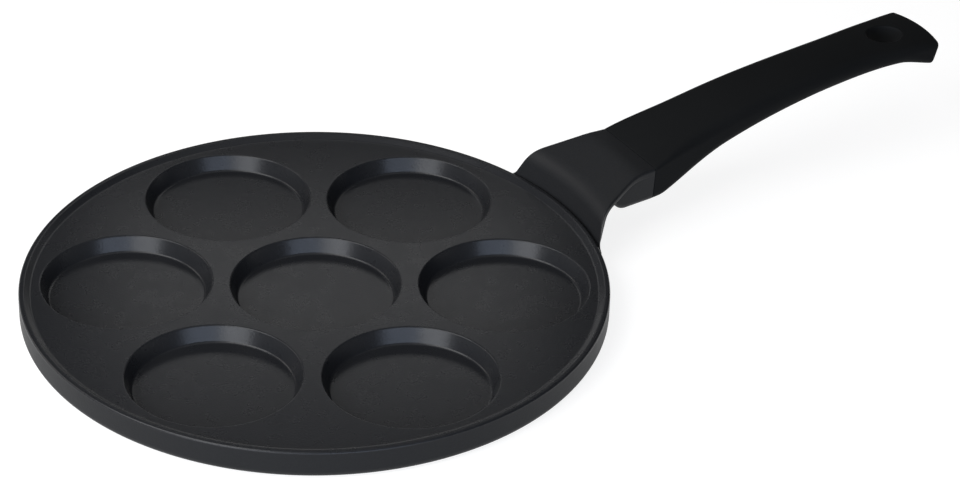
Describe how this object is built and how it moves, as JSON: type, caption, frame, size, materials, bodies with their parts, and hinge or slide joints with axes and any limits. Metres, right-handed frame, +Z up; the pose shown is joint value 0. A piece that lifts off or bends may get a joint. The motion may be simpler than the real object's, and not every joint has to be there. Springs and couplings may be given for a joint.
{
  "type": "crepe pan",
  "caption": "Flat round cast frying pan with shallow round wells for small pancakes, a flared bracket cast onto its wall and a long arched handle with a hanging hole.",
  "frame": {"origin": "centre of the pan's flat base, on the face it stands on", "axes": "+X from the pan's centre along the handle, +Z up out of the wells, +Y to the left of the handle seen from its end"},
  "size_m": [0.4627, 0.26, 0.0564],
  "materials": {
    "coated_aluminium": "die-cast aluminium under a dark grey satin non-stick coating",
    "induction_steel": "perforated ferritic stainless steel, brushed",
    "handle_phenolic": "black moulded phenolic with a soft-touch coat",
    "fastener_steel": "zinc-plated steel"
  },
  "bodies": {
    "root": {"pan_body": "coated_aluminium", "induction_disc": "induction_steel", "handle": "handle_phenolic", "flat_washer": "fastener_steel", "spring_washer": "fastener_steel", "handle_screw": "fastener_steel"}
  },
  "joints": []
}
